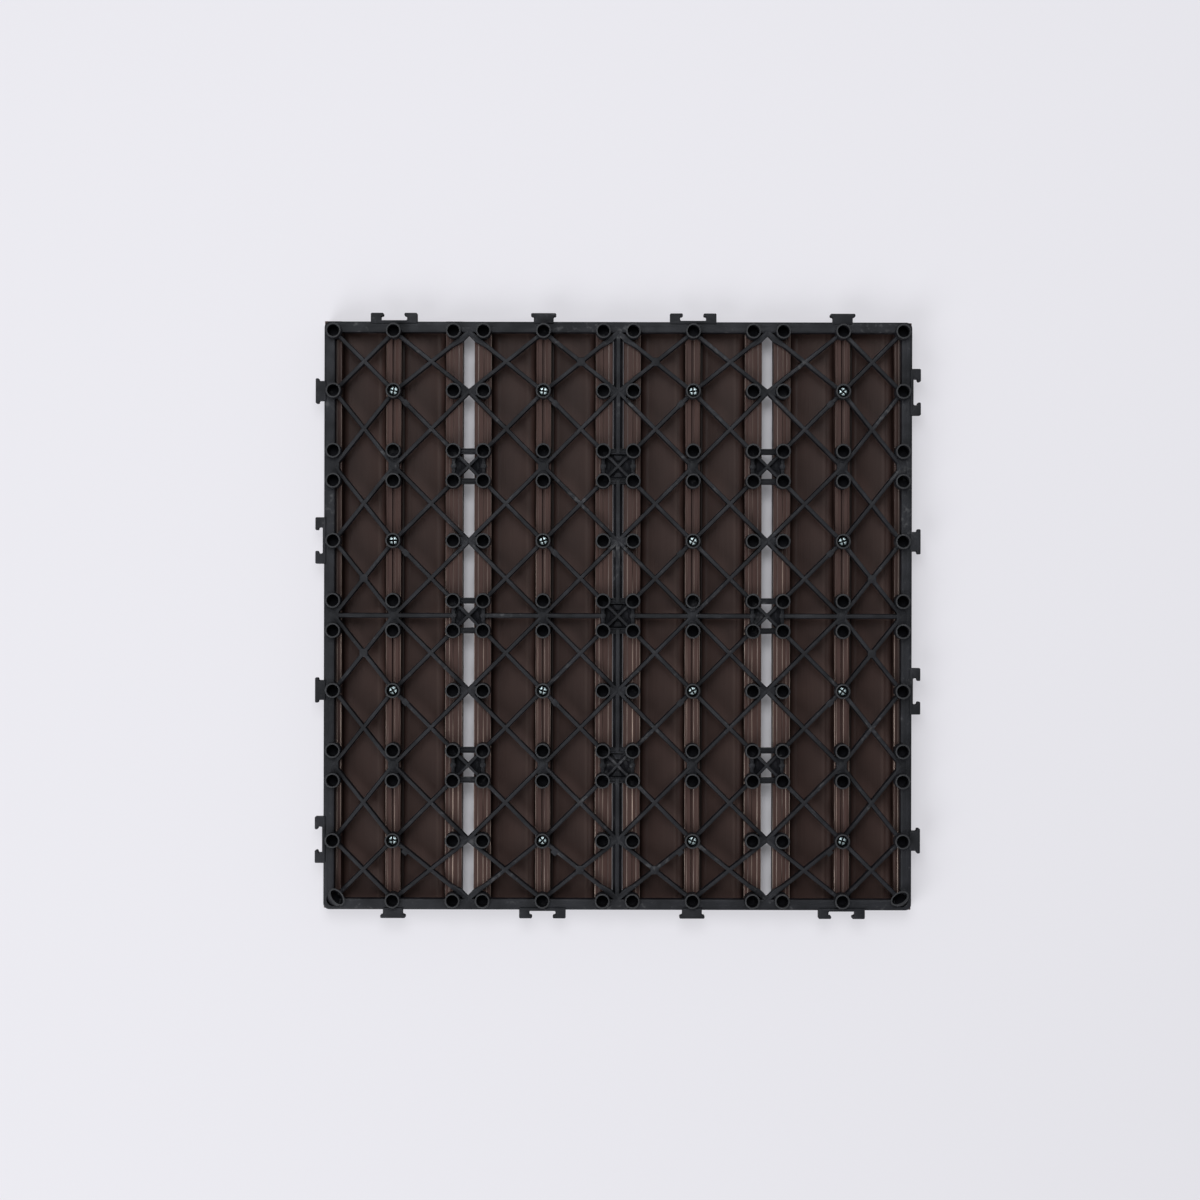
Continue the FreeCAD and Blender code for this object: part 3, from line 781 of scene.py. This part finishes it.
def half_section(bead):
    """Half a board's cross-section, anticlockwise from the deck's round corner to the centre leg's groove."""
    low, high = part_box("slat_2")
    half = (high[0] - low[0]) / MM / 2
    side_leg = half - side_leg_width
    turns = np.linspace(0, math.pi / 2, 8)
    cove = np.stack([np.cos(turns), np.sin(turns)], -1)
    corner, turned_back = cove[::2], cove[::2, ::-1]

    # The deck's round corner, the side leg's outer corner and its V grooves
    parts = [moved((half - deck_round, deck_round), deck_round * turned_back * (1, -1)),
             moved((half - leg_soft, seat - leg_soft), leg_soft * corner)]
    for place, width, depth in ((half - 2.0, 0.3, 0.05), (half - 4.7, 0.5, 0.24), (half - 6.6, 0.25, 0.05)):
        parts.append(np.array([(place + width / 2, seat), (place, seat - depth), (place - width / 2, seat)]))

    # The side leg's inner corner, the cove below it and the channel's floor
    wall, centre_wall = side_leg - hollow_round, centre_leg + hollow_round
    parts += [moved((side_leg + leg_soft, seat - leg_soft), leg_soft * turned_back * (-1, 1)),
              moved((wall, deck_thickness + hollow_round), hollow_round * cove * (1, -1)),
              np.array([(wall - 0.5, deck_thickness + 0.12), (wall - 1.0, deck_thickness),
                        (centre_wall + 1.0, deck_thickness), (centre_wall + 0.5, deck_thickness + 0.12)])]

    # The cove beside the centre leg, with a small bead on one side, and the groove in the leg's top
    small_bead = np.array([(1.35, 3.4), (1.25, 3.55), (0.6, 3.55), (0.5, 3.4), (0.45, 1.6), (0, 1.6)])
    if bead:
        parts += [moved((centre_wall, deck_thickness + hollow_round), hollow_round * cove[:5, ::-1] * (-1, -1)),
                  moved((centre_leg, deck_thickness), small_bead)]
        groove = [(0.9, seat), (0.7, seat - 0.15), (0.7, seat - 0.8)]
    else:
        parts.append(moved((centre_wall, deck_thickness + hollow_round), hollow_round * cove[:, ::-1] * (-1, -1)))
        groove = [(0.75, seat), (0.7, seat - 0.05), (0.7, seat - 3.0), (0.3, seat - 3.0), (0.25, seat - 0.8)]
    parts += [moved((centre_leg - leg_soft, seat - leg_soft), leg_soft * corner),
              np.array([(2.75, seat), (2.65, seat - 0.12), (2.55, seat)] + groove)]
    return np.concatenate(parts)


def board_section():
    """The whole cross-section: one half with the bead beside the centre leg, and the other mirrored without it."""
    return np.concatenate([half_section(True), half_section(False)[::-1] * (-1, 1)])


def slanted_edges(section):
    """Which sides of the section slant by 12 to 75 degrees, less than 0.4 mm below the legs' tops."""
    following = np.roll(section, -1, axis=0)
    ahead = following - section
    slant = np.degrees(np.arctan2(np.abs(ahead[:, 1]), np.abs(ahead[:, 0])))
    near_top = np.minimum(section[:, 1], following[:, 1]) > seat - 0.4
    return near_top & (slant > 12) & (slant < 75)


def deck_boards():
    """Each board is its cross-section carried straight along Y between the ends of its node."""
    section = board_section()
    count = len(section)
    faces = ring_faces(2, count)[:, ::-1].tolist()
    faces += [cap[::-1].tolist() for cap in end_caps(2, count)]
    # The slanted faces near the legs' tops take the material of painted glints.
    glint_faces = np.concatenate([slanted_edges(section), [False, False]])
    for number in (1, 2, 3, 4):
        low, high = (np.array(corner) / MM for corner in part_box("slat_%d" % number))
        across = section[:, 0] + (low[0] + high[0]) / 2
        ends = [np.stack([across, np.full(count, y), section[:, 1]], -1) for y in (low[1], high[1])]
        shell = Shell()
        shell.add(ends, faces)
        piece = shell.piece("deck_board_%d" % number, BROWN, "composite")
        piece.data.materials.append(EDGE)
        piece.data.polygons.foreach_set("material_index", glint_faces.astype(np.int32))
        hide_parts("slat_%d" % number)


# The screws

def cross_recess_head(turn):
    """A pan head whose height falls away at the rim as the fifth power of the radius and drops inside a cross."""
    radii = np.concatenate([[0.0], np.linspace(0.12, head_flat, 18), [2.42, head_radius, head_radius]])
    radius = radii[:, None]
    angle = np.linspace(0, 2 * math.pi, 72, endpoint=False)
    x, y = radius * np.cos(angle), radius * np.sin(angle)
    u = x * math.cos(turn) + y * math.sin(turn)
    v = -x * math.sin(turn) + y * math.cos(turn)
    off_slot = np.minimum(np.abs(u), np.abs(v)) - slot_half
    inside = np.clip(0.5 - off_slot / 0.12, 0, 1) * np.clip((recess_reach - radius) / 0.2, 0, 1)
    z = screw_top - 0.7 * (radius / head_radius) ** 5 - recess_depth * inside
    z[-2:] = np.array([[screw_top - head_height], [screw_floor]])
    faces = ring_faces(len(radii), len(angle))[:, ::-1]
    outward = np.broadcast_to(radius, inside.shape)
    shaded = (inside.ravel()[faces].mean(1) > 0.3) | (outward.ravel()[faces].mean(1) > 1.9)
    return np.stack([x, y, z], -1), faces.tolist(), shaded


def zinc_screws():
    """A head in each unit's centre foot, each turned its own way, with its recess and flank in the dark material
    that paints their shade.
    """
    shell = Shell()
    dark = []
    for index, (x, y) in enumerate(pairs(unit_middles, unit_middles)):
        form, faces, shaded = cross_recess_head(0.9 * index + 0.35 * math.sin(5 * index))
        floor = end_caps(*form.shape[:2])[1].tolist()
        shell.add(form + (x, y, 0), faces + [floor])
        dark.append(np.append(shaded, True))
    piece = shell.piece("zinc_screws", ZINC, "zinc")
    piece.data.materials.append(SHADED)
    piece.data.polygons.foreach_set("material_index", np.concatenate(dark).astype(np.int32))
    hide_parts("screws")


# The floor, the light and the camera

def split_at_tile(tree, outside, inside):
    """One value outside the tile's square and another under it, where only the gaps show the sheet."""
    across, along = (maths(tree, "ABSOLUTE", coordinate(tree, axis)) for axis in "XY")
    beyond = maths(tree, "GREATER_THAN", maths(tree, "MAXIMUM", across, along), (edge - 2) * MM)
    return maths(tree, "MULTIPLY_ADD", beyond, outside - inside, inside)


def pale_floor():
    """A pale sheet under the tile. The camera sees it partly by its own colour, so that its shadows stay faint."""
    half = 4.0
    mesh = bpy.data.meshes.new("pale_floor")
    mesh.from_pydata([(-half, -half, 0), (half, -half, 0), (half, half, 0), (-half, half, 0)], [], [(0, 1, 2, 3)])
    material, tree, shader = new_material("pale_sheet")
    set_sockets(tree, shader, {"Base Color": (0.780, 0.777, 0.825), "Roughness": 0.9, "Specular IOR Level": 0.1})
    # Painted light: the sheet's glow is brighter towards the far side than the near side.
    towards_far = carried(tree, coordinate(tree, "Y"), -250 * MM, 250 * MM)
    glow = node(tree, "ShaderNodeEmission")
    feed(tree, glow.inputs["Color"], mixed(tree, towards_far, (0.825, 0.818, 0.865), (0.880, 0.872, 0.922)))
    seen = node(tree, "ShaderNodeLightPath").outputs["Is Camera Ray"]
    both = node(tree, "ShaderNodeMixShader")
    feed(tree, both.inputs[0], maths(tree, "MULTIPLY", seen, split_at_tile(tree, 0.55, 0.1)))
    feed(tree, both.inputs[1], shader.outputs["BSDF"])
    feed(tree, both.inputs[2], glow.outputs["Emission"])
    feed(tree, tree.nodes["Material Output"].inputs["Surface"], both.outputs["Shader"])
    mesh.materials.append(material)
    floor = bpy.data.objects.new("pale_floor", mesh)
    bpy.context.scene.collection.objects.link(floor)


def soft_light(name, place, size, power):
    """A square lamp that faces the tile's middle."""
    data = bpy.data.lights.new(name, "AREA")
    data.shape = "SQUARE"
    data.size = size
    data.energy = power
    lamp = bpy.data.objects.new(name, data)
    lamp.location = place
    lamp.rotation_euler = (-Vector(place)).to_track_quat("-Z", "Y").to_euler()
    bpy.context.scene.collection.objects.link(lamp)


def light_the_scene():
    """A lamp above the far side, one at the near left, and a world brighter round the horizon than overhead."""
    world = bpy.data.worlds.new("studio")
    world.use_nodes = True
    tree = world.node_tree
    back = tree.nodes["Background"]
    overhead = coordinate(tree, "Z", "Generated")
    set_sockets(tree, back, {"Color": (1, 1, 1), "Strength": carried(tree, overhead, 0.1, 0.9, 0.55, 0.19)})
    bpy.context.scene.world = world
    soft_light("overhead", (-0.08, 0.65, 1.8), 0.8, 14.5)
    soft_light("near_left", (-0.8, -0.9, 1.3), 1.0, 16.0)


def look_down():
    """A camera straight above, at the height, offset and slight turn that the photograph's perspective gives."""
    picture_width = 1200.0
    pixels_per_mm = 2.003
    height = 1259.0
    data = bpy.data.cameras.new("camera")
    data.sensor_width = 36.0
    data.lens = pixels_per_mm * (height - rim_plane) / picture_width * data.sensor_width
    data.clip_end = 50.0
    camera = bpy.data.objects.new("camera", data)
    camera.location = (-8.95 * MM, 7.95 * MM, height * MM)
    camera.rotation_euler = (0, 0, 0.0022)
    bpy.context.scene.collection.objects.link(camera)
    bpy.context.scene.camera = camera


moulded_base()
deck_boards()
zinc_screws()
pale_floor()
light_the_scene()
look_down()
bpy.context.scene.view_settings.view_transform = "Standard"
